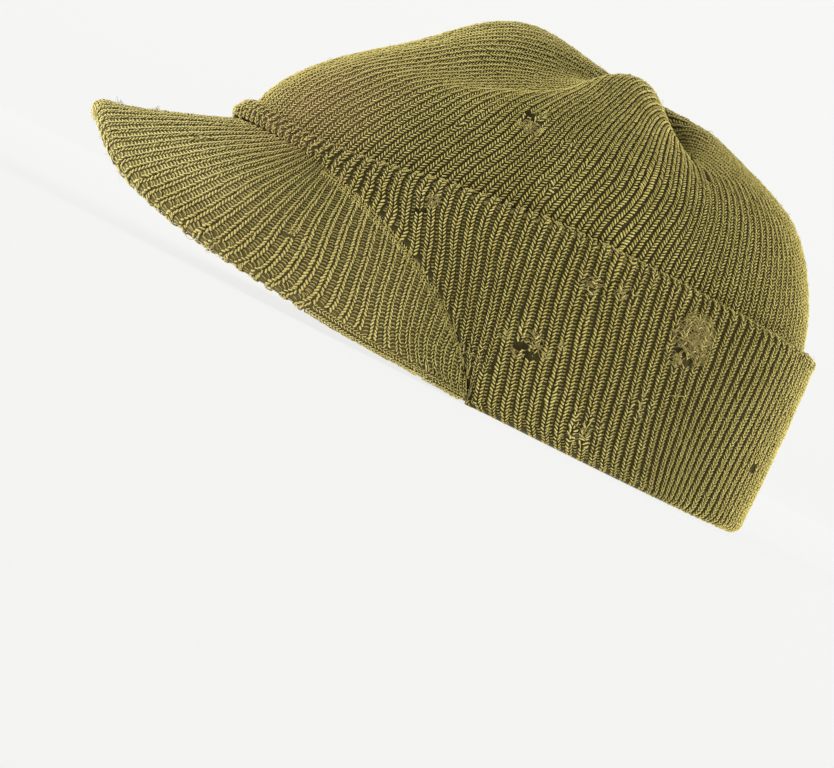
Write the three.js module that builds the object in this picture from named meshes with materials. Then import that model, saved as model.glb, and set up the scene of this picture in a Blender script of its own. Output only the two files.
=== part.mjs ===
import * as THREE from "three";

// A ribbed knit cap with a turned-up cuff and a short knit-covered visor, standing on its rim.
// Millimetres, +Z up. The visor points to -Y, and the wearer's left is +X.

// The head's hollow, an oval in plan.
const headHalfLength = 95.5;
const headHalfWidth = 77;
const ovalExponent = 2.12;

// Walls. The cuff is the double, turned-up end of the crown's knit, thinner where it rolls round the front.
const knitThickness = 3;
const cuffThickness = 6.7;
const cuffFrontThickness = 4.4;
const cuffLean = 2.2;
const gap = 0.3;

// Ribs of the knit. Each has a ridge and a furrow, so a ribbed row has two columns for each rib, and
// the smooth rows have a half or a quarter of them.
const ribCount = 148;
const ribHeight = 0.45;
const ribbed = 1;
const half = 2;
const quarter = 4;

// Heights above the rim.
const foldHeight = 3.3;
const crownHeight = 115.5;
const poleSink = 5;
const poleBack = 21;

// The visor's seam rises from the rim in an arch round the front.
const archHeight = 47;
const archAngle = 79;
const visorEndAngle = 77.4;
const visorThickness = 6;
const visorEdgeRadius = 3.1;
const lowestInnerEdge = 1.8;
const visorBulge = 3.4;
const visorRibCount = 66;

// Top edge of the cuff. Angles are degrees round the head from the front towards the wearer's left.
const cuffTop = [
  { angle: 0, height: 53 },
  { angle: 15, height: 50 },
  { angle: 30, height: 49.5 },
  { angle: 45, height: 51.5 },
  { angle: 60, height: 56 },
  { angle: 80, height: 60 },
  { angle: 110, height: 61.5 },
  { angle: 180, height: 61.5 },
];

// Roundness of the crown above the cuff: a low exponent is a straight slope, a high one a full shoulder.
// The pinch pulls it in just above the cuff.
const crownShoulder = [
  { angle: 0, exponent: 1.7, pinch: 0 },
  { angle: 60, exponent: 1.95, pinch: 0 },
  { angle: 110, exponent: 2.1, pinch: 1 },
  { angle: 180, exponent: 2.02, pinch: 2.4 },
];

// Darts that close the top, each a sharp valley that deepens from its start towards the middle.
const darts = [
  { angle: 30, depth: 7, width: 13, start: 0.4 },
  { angle: 101, depth: 12, width: 12, start: 0.3 },
  { angle: 172, depth: 8, width: 14, start: 0.4 },
  { angle: 240, depth: 9, width: 13, start: 0.35 },
  { angle: 308, depth: 8, width: 13, start: 0.4 },
];

// Lobes of spare knit that stand up between the darts.
const lobes = [
  { angle: -11, swell: 10.5, width: 26, middle: 0.73 },
  { angle: 66, swell: 5, width: 24, middle: 0.8 },
  { angle: 136, swell: 1.5, width: 24, middle: 0.8 },
  { angle: 206, swell: 2, width: 22, middle: 0.7 },
  { angle: 274, swell: 3, width: 22, middle: 0.72 },
];

// Middle of the visor's rounded outer edge. The left side droops lower than the right.
const visorEdge = [
  { angle: 0, sideways: 0, forward: 140.5, leftHeight: 26.5, rightHeight: 26.5 },
  { angle: 12, sideways: 18, forward: 139, leftHeight: 22.5, rightHeight: 27 },
  { angle: 24, sideways: 34, forward: 133.5, leftHeight: 17.5, rightHeight: 25 },
  { angle: 36, sideways: 49, forward: 123, leftHeight: 13.5, rightHeight: 21 },
  { angle: 48, sideways: 63, forward: 107.5, leftHeight: 11.5, rightHeight: 17 },
  { angle: 58, sideways: 73.5, forward: 89, leftHeight: 10, rightHeight: 13 },
  { angle: 67, sideways: 80, forward: 68, leftHeight: 9, rightHeight: 10.5 },
  { angle: 73, sideways: 82, forward: 47, leftHeight: 7.6, rightHeight: 8 },
  { angle: 77.4, sideways: 83.2, forward: 26.5, leftHeight: 4, rightHeight: 4 },
];

const degrees = 180 / Math.PI;
const columnCount = 2 * ribCount;

function mix(a, b, share) {
  return a + (b - a) * share;
}

function smooth(from, to, value) {
  const share = THREE.MathUtils.clamp((value - from) / (to - from), 0, 1);
  return share * share * (3 - 2 * share);
}

// Angle from -180 to 180 degrees.
function wrapped(angle) {
  return ((((angle + 180) % 360) + 360) % 360) - 180;
}

// A named column of a table at an angle, along a smooth curve through its rows.
function fromTable(table, column, angle) {
  const last = table.length - 1;
  let row = 0;
  while (row < last - 1 && angle > table[row + 1].angle) row++;
  const before = table[Math.max(row - 1, 0)];
  const start = table[row];
  const end = table[row + 1];
  const after = table[Math.min(row + 2, last)];
  const span = end.angle - start.angle;
  const share = THREE.MathUtils.clamp((angle - start.angle) / span, 0, 1);
  const startSlope = ((end[column] - before[column]) / (end.angle - before.angle)) * span;
  const endSlope = ((after[column] - start[column]) / (after.angle - start.angle)) * span;
  const square = share * share;
  const cube = square * share;
  return (
    (2 * cube - 3 * square + 1) * start[column] +
    (cube - 2 * square + share) * startSlope +
    (3 * square - 2 * cube) * end[column] +
    (cube - square) * endSlope
  );
}

// Angle on the oval, in degrees, of a share of the way round, so that the ribs are evenly spaced.
function evenAngle(share) {
  const turn = share * 360;
  const lengthSquare = headHalfLength ** 2;
  const widthSquare = headHalfWidth ** 2;
  const stretch = (lengthSquare - widthSquare) / (lengthSquare + widthSquare) / 4;
  return turn + degrees * stretch * Math.sin((2 * turn) / degrees);
}

function roundedPower(value) {
  return Math.sign(value) * Math.abs(value) ** (2 / ovalExponent);
}

// A point on the head's oval, moved outwards by an offset, at a height.
function capPoint(angle, offset, height) {
  const turn = angle / degrees;
  return new THREE.Vector3(
    (headHalfWidth + offset) * roundedPower(Math.sin(turn)),
    -(headHalfLength + offset) * roundedPower(Math.cos(turn)),
    height,
  );
}

function ridge(column) {
  return column % 2 ? -ribHeight : ribHeight;
}

// Height of the visor's seam, which is also the cuff's lower edge at the front.
function seamHeight(angle) {
  const share = Math.min(Math.abs(wrapped(angle)) / archAngle, 1);
  return archHeight * (1 - share ** 3) ** 0.65;
}

function cuffTopHeight(angle) {
  return fromTable(cuffTop, "height", Math.abs(wrapped(angle)));
}

function cuffWall(angle) {
  return mix(cuffFrontThickness, cuffThickness, smooth(10, 62, Math.abs(wrapped(angle))));
}

// Builds a closed body from rows of points. Neighbouring rows are joined by triangles, and a row may
// hold a multiple of its neighbour's points or be a single pole.
class Skin {
  constructor(rowsAreRings) {
    this.points = [];
    this.faces = [];
    this.rowsAreRings = rowsAreRings;
  }

  row(points) {
    const first = this.points.length;
    this.points.push(...points);
    return points.map((_, index) => first + index);
  }

  join(lower, upper) {
    if (lower.length >= upper.length) this.band(lower, upper, false);
    else this.band(upper, lower, true);
  }

  band(fine, coarse, flipped) {
    const spans = this.rowsAreRings ? fine.length : fine.length - 1;
    const coarseSpans = this.rowsAreRings ? coarse.length : coarse.length - 1;
    const ratio = coarse.length === 1 ? spans : spans / coarseSpans;
    for (let span = 0; span < spans; span++) {
      const here = fine[span];
      const next = fine[(span + 1) % fine.length];
      const held = Math.floor(span / ratio) % coarse.length;
      this.face(here, next, coarse[held], flipped);
      if (coarse.length > 1 && (span + 1) % ratio === 0)
        this.face(next, coarse[(held + 1) % coarse.length], coarse[held], flipped);
    }
  }

  face(a, b, c, flipped) {
    this.faces.push(...(flipped ? [a, c, b] : [a, b, c]));
  }

  // Closes an open end with a fan round the middle of its outline.
  cap(outline, flipped) {
    const middle = new THREE.Vector3();
    outline.forEach((index) => middle.add(this.points[index]));
    const [hub] = this.row([middle.divideScalar(outline.length)]);
    outline.forEach((index, place) =>
      this.face(index, outline[(place + 1) % outline.length], hub, flipped),
    );
  }

  geometry() {
    const geometry = new THREE.BufferGeometry().setFromPoints(this.points);
    geometry.setIndex(this.faces);
    geometry.computeVertexNormals();
    return geometry;
  }
}

// One ring round the head. placing gives a point from an angle and the column's ridge.
function ring(skin, detail, placing) {
  const count = columnCount / detail;
  const points = [];
  for (let column = 0; column < count; column++)
    points.push(placing(evenAngle(column / count), detail === ribbed ? ridge(column) : 0));
  return skin.row(points);
}

function dartDepth(angle, share) {
  let depth = 0;
  for (const dart of darts) {
    const away = Math.abs(wrapped(angle - dart.angle)) / dart.width;
    const along = smooth(dart.start, 0.82, share) * (1 - smooth(0.86, 1, share));
    depth += dart.depth * Math.exp(-away) * along;
  }
  return depth;
}

function lobeSwell(angle, share) {
  let swell = 0;
  for (const lobe of lobes) {
    const away = wrapped(angle - lobe.angle) / lobe.width;
    const along = (share - lobe.middle) / 0.22;
    swell += lobe.swell * Math.exp(-away * away - along * along);
  }
  return swell * (1 - smooth(0.86, 1, share));
}

// A point of the crown above the cuff. share runs from the cuff's edge, 0, to the middle of the top, 1.
function crownPoint(angle, share, inset, relief) {
  const spring = cuffTopHeight(angle) - 3;
  const exponent = fromTable(crownShoulder, "exponent", Math.abs(wrapped(angle)));
  const turn = (share * Math.PI) / 2;
  const reach = Math.cos(turn) ** (2 / exponent);
  const rise = Math.sin(turn) ** (2 / exponent);
  const foot = capPoint(angle, knitThickness - inset, 0);
  const outwards = foot.clone().setY(foot.y - poleBack).normalize();
  const pinch = fromTable(crownShoulder, "pinch", Math.abs(wrapped(angle)));
  const hollow = pinch * Math.sin(Math.PI * Math.min(share / 0.5, 1)) + dartDepth(angle, share);
  const stand = lobeSwell(angle, share) - hollow + relief;
  const top = crownHeight - inset - poleSink * smooth(0.8, 1, share);
  return new THREE.Vector3(
    foot.x * reach,
    poleBack + (foot.y - poleBack) * reach,
    spring + (top - spring) * rise,
  )
    .addScaledVector(outwards, stand * Math.cos(turn))
    .add(new THREE.Vector3(0, 0, stand * Math.sin(turn)));
}

function crownFoot(angle) {
  return Math.max(foldHeight, seamHeight(angle) - visorThickness);
}

function crownGeometry() {
  const skin = new Skin(true);
  const pole = (inset) =>
    skin.row([new THREE.Vector3(0, poleBack, crownHeight - inset - poleSink)]);
  const rows = [pole(knitThickness)];
  for (const share of [0.92, 0.82, 0.7, 0.55, 0.38, 0.2, 0])
    rows.push(ring(skin, quarter, (angle) => crownPoint(angle, share, knitThickness, 0)));
  rows.push(ring(skin, quarter, (angle) => capPoint(angle, 0, crownFoot(angle))));
  rows.push(ring(skin, quarter, (angle) => capPoint(angle, knitThickness, crownFoot(angle))));
  rows.push(ring(skin, quarter, (angle) => crownPoint(angle, 0, 0, 0)));
  for (const share of [0.05, 0.17, 0.3, 0.45, 0.6])
    rows.push(ring(skin, ribbed, (angle, relief) => crownPoint(angle, share, 0, relief)));
  for (const share of [0.7, 0.8, 0.87, 0.94])
    rows.push(ring(skin, quarter, (angle) => crownPoint(angle, share, 0, 0)));
  rows.push(pole(0));
  rows.slice(1).forEach((row, index) => skin.join(rows[index], row));
  return skin.geometry();
}

// The cuff's section at one angle, from the top of its inner face down, under the crown's wall, and up
// its ribbed outer face. In the arch round the front it stops beside the crown's wall instead.
function cuffSection(angle) {
  const inArch = 1 - smooth(archAngle, archAngle + 4, Math.abs(wrapped(angle)));
  const inner = knitThickness + gap;
  const foot = inner + cuffWall(angle);
  const head = foot - cuffLean * (1 - 0.6 * inArch);
  const bottom = seamHeight(angle);
  const top = cuffTopHeight(angle);
  const middle = mix(bottom, top, 0.5);
  return {
    innerTop: [inner, top - 2],
    innerFoot: [inner, bottom + 2.9],
    foldTop: [mix(0.2, inner + 0.2, inArch), bottom + mix(2.8, 1.6, inArch)],
    foldSide: [mix(0.2, inner + 0.5, inArch), bottom + mix(1.5, 0.8, inArch)],
    soleInner: [mix(1.6, inner + 1, inArch), bottom],
    soleOuter: [foot - 2.2, bottom],
    footRound: [foot - 0.6, bottom + 0.9],
    foot: [foot, bottom + mix(3, 2, inArch)],
    belly: [mix(foot, head, 0.5) + 0.5, middle],
    head: [head, top - mix(2.8, 1.9, inArch)],
    headRound: [head - 0.7, top - 0.7],
    crest: [mix(inner, head, 0.55), top],
    crestInner: [inner + 0.5, top - 0.5],
  };
}

function cuffGeometry() {
  const skin = new Skin(true);
  const row = (detail, place) =>
    ring(skin, detail, (angle, relief) => {
      const [offset, height] = cuffSection(angle)[place];
      return capPoint(angle, offset + relief, height);
    });
  const rows = [
    row(quarter, "innerTop"),
    row(half, "innerFoot"),
    row(half, "foldTop"),
    row(half, "foldSide"),
    row(half, "soleInner"),
    row(half, "soleOuter"),
    row(ribbed, "footRound"),
    row(ribbed, "foot"),
    row(ribbed, "belly"),
    row(ribbed, "head"),
    row(half, "headRound"),
    row(quarter, "crest"),
    row(quarter, "crestInner"),
  ];
  rows.forEach((ring, index) => skin.join(ring, rows[(index + 1) % rows.length]));
  return skin.geometry();
}

// Middle of the visor's outer edge at an angle, negative to the wearer's right.
function edgePoint(angle) {
  const turn = Math.abs(angle);
  const column = angle < 0 ? "rightHeight" : "leftHeight";
  return new THREE.Vector3(
    Math.sign(angle) * fromTable(visorEdge, "sideways", turn),
    -fromTable(visorEdge, "forward", turn),
    fromTable(visorEdge, column, turn),
  );
}

// The visor's section at one angle: its two ends on the cap, its outer edge, and its face's normal.
function visorSection(angle) {
  const seam = seamHeight(angle) - gap - 0.8 * smooth(60, visorEndAngle, Math.abs(angle));
  const inner = knitThickness + gap;
  const outer = inner + cuffWall(angle) - 0.9;
  const edge = edgePoint(angle);
  const top = capPoint(angle, outer, seam);
  const step = edgePoint(angle + 0.5).sub(edgePoint(angle - 0.5));
  const normal = edge.clone().sub(top).cross(step).normalize();
  return {
    top,
    corner: capPoint(angle, inner, seam),
    bottom: capPoint(angle, inner, Math.max(seam - visorThickness + gap, lowestInnerEdge)),
    edge,
    radius: visorEdgeRadius * (1 - 0.5 * smooth(68, visorEndAngle, Math.abs(angle))),
    bulge: visorBulge * (1 - 0.8 * smooth(55, visorEndAngle, Math.abs(angle))),
    normal,
    outwards: edge.clone().sub(top).normalize(),
  };
}

// A point across the visor's upper face, 0 at the seam and 1 at the outer edge.
function upperFace(section, share, relief) {
  const bulge = section.bulge * Math.sin(Math.PI * share ** 1.25) + relief;
  const end = section.edge.clone().addScaledVector(section.normal, section.radius);
  return section.top.clone().lerp(end, share).addScaledVector(section.normal, bulge);
}

function lowerFace(section, share) {
  const bulge = 0.8 * section.bulge * Math.sin(Math.PI * share ** 1.25);
  const end = section.edge.clone().addScaledVector(section.normal, -section.radius);
  return section.bottom.clone().lerp(end, share).addScaledVector(section.normal, bulge);
}

// A point round the outer edge, a quarter turn above and below its middle.
function roundedEdge(section, turn, relief) {
  return section.edge
    .clone()
    .addScaledVector(section.normal, (section.radius + relief) * Math.sin(turn))
    .addScaledVector(section.outwards, (section.radius + relief) * Math.cos(turn));
}

function visorGeometry() {
  const skin = new Skin(false);
  const spans = 2 * visorRibCount;
  const across = (detail, placing) => {
    const count = spans / detail;
    const points = [];
    for (let column = 0; column <= count; column++) {
      const angle = mix(-visorEndAngle, visorEndAngle, column / count);
      const isEnd = column === 0 || column === count;
      points.push(placing(visorSection(angle), detail === ribbed && !isEnd ? ridge(column) : 0));
    }
    return skin.row(points);
  };
  const rows = [
    across(half, (section) => section.corner),
    across(half, (section) => section.top),
    ...[0.14, 0.38, 0.62, 0.85, 1].map((share) =>
      across(ribbed, (section, relief) => upperFace(section, share, relief)),
    ),
    across(ribbed, (section, relief) => roundedEdge(section, 0.35, relief)),
    across(half, (section) => roundedEdge(section, -0.6, 0)),
    ...[1, 0.75, 0.5, 0.25].map((share) =>
      across(quarter, (section) => lowerFace(section, share)),
    ),
    across(quarter, (section) => section.bottom),
  ];
  rows.forEach((row, index) => skin.join(rows[(index + 1) % rows.length], row));
  skin.cap(rows.map((row) => row[0]), true);
  skin.cap(rows.map((row) => row[row.length - 1]), false);
  return skin.geometry();
}

function knitMaterial(color) {
  return new THREE.MeshStandardMaterial({ color, roughness: 0.95, metalness: 0 });
}

function piece(name, geometry, material) {
  const mesh = new THREE.Mesh(geometry, material);
  mesh.name = name;
  return mesh;
}

// The cap, with its origin on the surface it stands on, below the middle of its outline.
function knitCap() {
  const cap = new THREE.Group();
  cap.add(
    piece("crown", crownGeometry(), knitMaterial("#6f6a32")),
    piece("cuff", cuffGeometry(), knitMaterial("#77733a")),
    piece("visor", visorGeometry(), knitMaterial("#77733a")),
  );
  const box = new THREE.Box3().setFromObject(cap);
  const middle = box.getCenter(new THREE.Vector3());
  cap.position.set(-middle.x, -middle.y, -box.min.z);
  return cap;
}

export default knitCap();
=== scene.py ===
import math

import bpy
import numpy as np
from mathutils import Matrix, Vector


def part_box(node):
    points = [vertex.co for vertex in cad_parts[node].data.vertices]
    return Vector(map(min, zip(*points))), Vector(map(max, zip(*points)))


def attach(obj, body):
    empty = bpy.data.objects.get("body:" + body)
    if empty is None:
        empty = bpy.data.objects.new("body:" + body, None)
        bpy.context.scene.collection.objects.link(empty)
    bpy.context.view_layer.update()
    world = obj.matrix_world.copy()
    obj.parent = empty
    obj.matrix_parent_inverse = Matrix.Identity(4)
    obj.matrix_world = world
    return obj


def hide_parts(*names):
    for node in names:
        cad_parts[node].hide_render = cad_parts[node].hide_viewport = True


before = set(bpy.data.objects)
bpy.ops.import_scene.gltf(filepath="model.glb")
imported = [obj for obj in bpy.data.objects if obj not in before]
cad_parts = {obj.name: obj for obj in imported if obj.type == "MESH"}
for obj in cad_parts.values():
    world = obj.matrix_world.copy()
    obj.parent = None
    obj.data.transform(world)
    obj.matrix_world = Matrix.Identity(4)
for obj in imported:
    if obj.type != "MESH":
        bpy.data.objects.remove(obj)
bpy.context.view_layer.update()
print("frame loaded")

# Lengths are millimetres from the middle of the head until a mesh is made, and angles are degrees
# from the front towards the wearer's left, as in the part's own tables.

head = {"halfLength": 95.5, "halfWidth": 77, "ovalExponent": 2.12}
walls = {"knit": 3, "cuff": 6.7, "cuffFront": 4.4, "lean": 2.2, "gap": 0.3, "ribRelief": 0.45}
ribCount = 148
course = 1.05  # height of a row of stitches

metre = 1000
cuffBack = head["halfLength"] + walls["knit"] + walls["gap"] + walls["cuff"] + walls["ribRelief"]
headMiddle = np.array([0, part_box("cuff")[1].y * metre - cuffBack, 0])

dice = np.random.default_rng(8)


def mix(a, b, share):
    return a + (b - a) * share


def smooth(start, end, value):
    share = np.clip((value - start) / (end - start), 0, 1)
    return share * share * (3 - 2 * share)


def unit(v):
    return v / np.maximum(np.linalg.norm(v, axis=-1, keepdims=True), 1e-9)


def wrapped(angle):
    return (angle + 180) % 360 - 180


def fromFront(angle):
    return np.abs(wrapped(angle))


def column(values):
    return np.asarray(values)[..., None]


# Rows of a table as dictionaries, by the names of its columns.
def table(names, *rows):
    return [dict(zip(names.split(), row)) for row in rows]


# A named column of a table at any angles, on the cubic through its rows whose slopes come from the
# neighbouring rows.
def fromTable(knots, name, angle):
    at = np.array(knots["angle"], float)
    value = np.array(knots[name], float)
    last = len(at) - 1
    row = np.clip(np.searchsorted(at, angle) - 1, 0, last - 1)
    before = np.maximum(row - 1, 0)
    after = np.minimum(row + 2, last)
    span = at[row + 1] - at[row]
    share = np.clip((angle - at[row]) / span, 0, 1)
    startSlope = (value[row + 1] - value[before]) / (at[row + 1] - at[before]) * span
    endSlope = (value[after] - value[row]) / (at[after] - at[row]) * span
    square, cube = share**2, share**3
    return (
        (2 * cube - 3 * square + 1) * value[row]
        + (cube - 2 * square + share) * startSlope
        + (3 * square - 2 * cube) * value[row + 1]
        + (cube - square) * endSlope
    )


# The angle of a rib, spaced evenly round the oval: a share of the turn plus a small double wave.
def ribAngle(rib):
    turn = np.asarray(rib) / ribCount * 360
    squares = head["halfLength"] ** 2, head["halfWidth"] ** 2
    stretch = (squares[0] - squares[1]) / (squares[0] + squares[1]) / 4
    return turn + np.degrees(stretch) * np.sin(np.radians(2 * turn))


# A point on the head's oval moved outwards: a superellipse in plan.
def capPoint(angle, offset, height):
    turn = np.radians(angle)
    power = 2 / head["ovalExponent"]
    x = (head["halfWidth"] + offset) * np.sign(np.sin(turn)) * np.abs(np.sin(turn)) ** power
    y = -(head["halfLength"] + offset) * np.sign(np.cos(turn)) * np.abs(np.cos(turn)) ** power
    return np.stack(np.broadcast_arrays(x, y, height), -1).astype(float)


# Meshes


# One closed mesh of triangles, with a yarn colour for each point and places on its maps for each corner.
def makeMesh(name, points, faces, material, yarn, maps):
    count = len(faces)
    mesh = bpy.data.meshes.new(name)
    mesh.vertices.add(len(points))
    mesh.vertices.foreach_set("co", ((points + headMiddle) / metre).astype(np.float32).ravel())
    mesh.loops.add(3 * count)
    mesh.loops.foreach_set("vertex_index", faces.astype(np.int32).ravel())
    mesh.polygons.add(count)
    mesh.polygons.foreach_set("loop_start", np.arange(0, 3 * count, 3, dtype=np.int32))
    mesh.polygons.foreach_set("loop_total", np.full(count, 3, np.int32))
    mesh.polygons.foreach_set("use_smooth", np.full(count, True))
    mesh.update(calc_edges=True)
    for mapName, places in maps.items():
        mesh.uv_layers.new(name=mapName).data.foreach_set("uv", places.astype(np.float32).ravel())
    attribute = mesh.attributes.new("yarn", "FLOAT_COLOR", "POINT")
    attribute.data.foreach_set("color", yarn.astype(np.float32).ravel())
    mesh.materials.append(material)
    mesh.validate()
    piece = bpy.data.objects.new(name, mesh)
    bpy.context.scene.collection.objects.link(piece)
    print(f"{name}: {count} triangles")
    return piece


# Whether faces point inwards: then the volume that they close comes out negative.
def insideOut(points, faces):
    a, b, c = (points[faces[..., k]] for k in range(3))
    return (a * np.cross(b, c)).sum() < 0


# Strands are thin closed grains: each runs through its stations, from a point to a point, with a
# three-cornered section that is flat below. Smooth shading rounds it.
def strandFaces(stations):
    rings = stations - 2
    faces, places = [], []
    for side in range(3):
        nextSide = (side + 1) % 3
        faces.append([0, 1 + nextSide, 1 + side])
        places.append([[side + 0.5, 0], [side + 1, 1], [side, 1]])
        for ring in range(rings - 1):
            here = 1 + 3 * ring
            low = [[side, ring + 1], [side + 1, ring + 1], [side + 1, ring + 2], [side, ring + 2]]
            corners = [here + side, here + nextSide, here + 3 + nextSide, here + 3 + side]
            for pick in ([0, 1, 2], [0, 2, 3]):
                faces.append([corners[k] for k in pick])
                places.append([low[k] for k in pick])
        tail = 1 + 3 * (rings - 1)
        faces.append([1 + 3 * rings, tail + side, tail + nextSide])
        places.append([[side + 0.5, stations - 1], [side, rings], [side + 1, rings]])
    return np.array(faces), np.array(places) / [3, stations - 1]


yarnFloor = 0.03  # no yarn reaches below this height
bakeMargin = 0.06  # round a strand, as a share of its cell of the bake map


# Points, faces, bake map and yarn values of many strands. path holds each strand's stations, outwards
# its upper side, halfWidth and height its section, and tint its tone, stain, fade and painted shade.
def strands(path, outwards, halfWidth, height, tint):
    count, stations = path.shape[:2]
    inner = path[:, 1:-1]
    tangent = unit(path[:, 2:] - path[:, :-2])
    sideways = unit(np.cross(tangent, outwards[:, None]))
    upwards = unit(np.cross(sideways, tangent))
    across, rise = sideways * column(halfWidth), upwards * column(height)
    ring = np.stack([inner - across, inner + rise, inner + across], 2)
    points = np.concatenate([path[:, :1], ring.reshape(count, -1, 3), path[:, -1:]], 1)
    points[..., 2] = np.maximum(points[..., 2], yarnFloor)
    perStrand = points.shape[1]
    faces, places = strandFaces(stations)
    faces = faces[None] + (np.arange(count) * perStrand)[:, None, None]
    if insideOut(points.reshape(-1, 3), faces):
        faces, places = faces[..., ::-1], places[:, ::-1]
    cells = math.ceil(math.sqrt(count))
    cell = np.stack([np.arange(count) % cells, np.arange(count) // cells], -1)
    bake = (cell[:, None, None] + bakeMargin + (1 - 2 * bakeMargin) * places[None]) / cells
    # Painted shade: the yarn's third value is full on each strand's sides and ends, where it sinks between
    # its neighbours, and tint's painted shade on its crest.
    yarn = np.ones((count, perStrand, 4))
    tone, stain, fade, paintedShade = column(tint.T)
    yarn[..., 0], yarn[..., 1], yarn[..., 3] = tone, stain, fade
    yarn[:, 2:-1:3, 2] = paintedShade
    return points.reshape(-1, 3), faces.reshape(-1, 3), bake.reshape(-1, 2), yarn.reshape(-1, 4)


# Several sets of strands in one mesh. Each set gets its own band of the bake map.
def strandPiece(name, sets, material):
    total = sum(len(faces) for _, faces, _, _ in sets)
    parts = []
    start, low = 0, 0.0
    for points, faces, bake, yarn in sets:
        share = len(faces) / total
        parts.append((points, faces + start, bake * [1, share] + [0, low], yarn))
        start += len(points)
        low += share
    points, faces, bake, yarn = (np.concatenate(part) for part in zip(*parts))
    return makeMesh(name, points, faces, material, yarn, {"OFBake": bake})


# A closed skin of knit from rows of points, outer face first, each with its course number. rib holds
# the columns' rib numbers. Rows are rings, or strips whose two ends are closed by fans, and poles
# closes the first and last row with a single point each. The skin dips into the holes.
def skinPiece(name, rib, rows, material, ring=True, poles=None):
    knit = np.concatenate([np.stack(np.broadcast_arrays(rib, up), -1) for _, up in rows])
    points = np.concatenate([row for row, _ in rows])
    rowCount, width = len(rows), len(rib)
    spans = width if ring else width - 1
    bands = rowCount if poles is None else rowCount - 1
    index = np.arange(rowCount * width).reshape(rowCount, width)
    upper = np.roll(index, -1, 0)
    grids = (index, np.roll(index, -1, 1), np.roll(upper, -1, 1), upper)
    quads = np.stack([grid[:bands, :spans] for grid in grids], -1).reshape(-1, 4)
    tris = np.concatenate([quads[:, [0, 1, 2]], quads[:, [0, 2, 3]]])
    u, v = np.arange(spans + 1) / spans, np.arange(bands + 1) / bands
    u0, v0 = np.meshgrid(u[:-1], v[:-1])
    u1, v1 = np.meshgrid(u[1:], v[1:])
    corner = np.stack([u0, v0, u1, v0, u1, v1, u0, v1], -1).reshape(-1, 4, 2)
    bake = np.concatenate([corner[:, [0, 1, 2]], corner[:, [0, 2, 3]]])
    if poles is not None:
        for at, row, side in ((0, np.roll(index[0], -1), index[0]), (1, index[-1], np.roll(index[-1], -1))):
            tris = np.concatenate([tris, np.stack([row, side, np.full(width, len(points) + at)], -1)])
            edge = np.full(spans, float(at))
            fan = np.stack([u[1:], edge, u[:-1], edge, u[:-1], edge], -1)
            bake = np.concatenate([bake, fan.reshape(-1, 3, 2)])
        points = np.concatenate([points, poles])
        knit = np.concatenate([knit, knit[[0, -1]]])
    if not ring:
        for side, flip in ((0, 1), (-1, -1)):
            outline = index[:, side]
            fan = np.stack([outline, np.roll(outline, -1), np.full(rowCount, len(points))], -1)
            tris = np.concatenate([tris, fan[:, ::flip]])
            bake = np.concatenate([bake, np.zeros((rowCount, 3, 2))])
            points = np.concatenate([points, points[outline].mean(0, keepdims=True)])
            knit = np.concatenate([knit, knit[outline[:1]]])
    if insideOut(points, tris):
        tris, bake = tris[:, ::-1], bake[:, ::-1]
    # Behind a hole the skin dips in and is painted fully dark as shade; elsewhere it carries painted shade
    # for the gaps between stitches, less on the visor's pale upper face.
    pitAndShade = 1 - smooth(0.6, 1.8, fromHole(points))
    points = points - column(pitDepth * pitAndShade) * unit(points * [1, 1, 0.3])
    yarn = np.zeros((len(points), 4))
    yarn[:, 1] = wornAt(stains, points)
    yarn[:, 2] = np.maximum(0.8 - 0.5 * bleachedAndPaintedLightAt(points), pitAndShade)
    maps = {"OFBake": bake.reshape(-1, 2), "Knit": knit[tris].reshape(-1, 2)}
    return makeMesh(name, points, tris, material, yarn, maps)


# Wear: brown stains, places where the stitches are rubbed out of line, and holes, each a slit with two ends
# and a width. Also patches of painted shade, where the wool's tone is lowered to stand for shade.

stains = table(
    "at reach amount",
    ((27, -88, 59), 22, 1.0),
    ((78, -70, 8), 20, 0.25),
    ((56, -100, 8), 20, 0.4),
    ((58, -79, 43), 1.3, 1.0),
    ((71, -65, 39), 1.3, 1.0),
    ((72.6, -87.3, 23.6), 2.6, 0.8),
)
rubbed = table(
    "at reach amount",
    ((81.8, 33, 48), 8, 1),
    ((82, 34, 41), 5, 1),
    ((73, -57.5, 49), 3.5, 1),
    ((84.9, -4, 48.5), 4.5, 1),
    ((84.2, 7.2, 50.5), 3.5, 1),
    ((86, -14, 24.5), 5, 1),
    ((84, -27.5, 13.5), 4, 1),
    ((86, 14, 9), 6, 1),
    ((84, 28, 23), 4.5, 1),
    ((63.5, -35.5, 83), 4, 1),
    ((68.4, -24.3, 82), 2, 1),
    ((75, -26, 68), 2.5, 1),
    ((60.7, -54.8, 73.3), 2, 1),
    ((65, -109, 8.5), 4, 1),
    ((30, -117, 34.6), 3.5, 1),
    ((82.5, -38, 3), 5, 1),
)
# Painted shade: patches where the wool's tone is lowered, as though in shade.
shadedPatches = table(
    "at reach amount",
    ((86, 8, 28), 26, 1.0),
    ((83, -32, 36), 20, 0.7),
    ((66, -88, 16), 27, 1.3),
)
holes = table(
    "from to wide",
    ((59, -38.6, 85.7), (61.1, -35.6, 85.4), 1.1),
    ((85.3, -17.4, 23.2), (85.9, -11.5, 21.2), 1.2),
    ((82.1, 29.6, 44.3), (81.8, 36.1, 41), 1.1),
    ((55.9, 82.4, 21.9), (56.8, 81.5, 21.2), 1.2),
    ((72.8, -90.8, 20.6), (74, -87.6, 21.2), 0.9),
    ((73.3, -59.1, 44.3), (74, -57, 45), 0.8),
)
pitDepth = 1.8  # of the knit behind a hole
edgeRub = 0.35  # how rubbed the cuff's top and the visor's edge are


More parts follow.
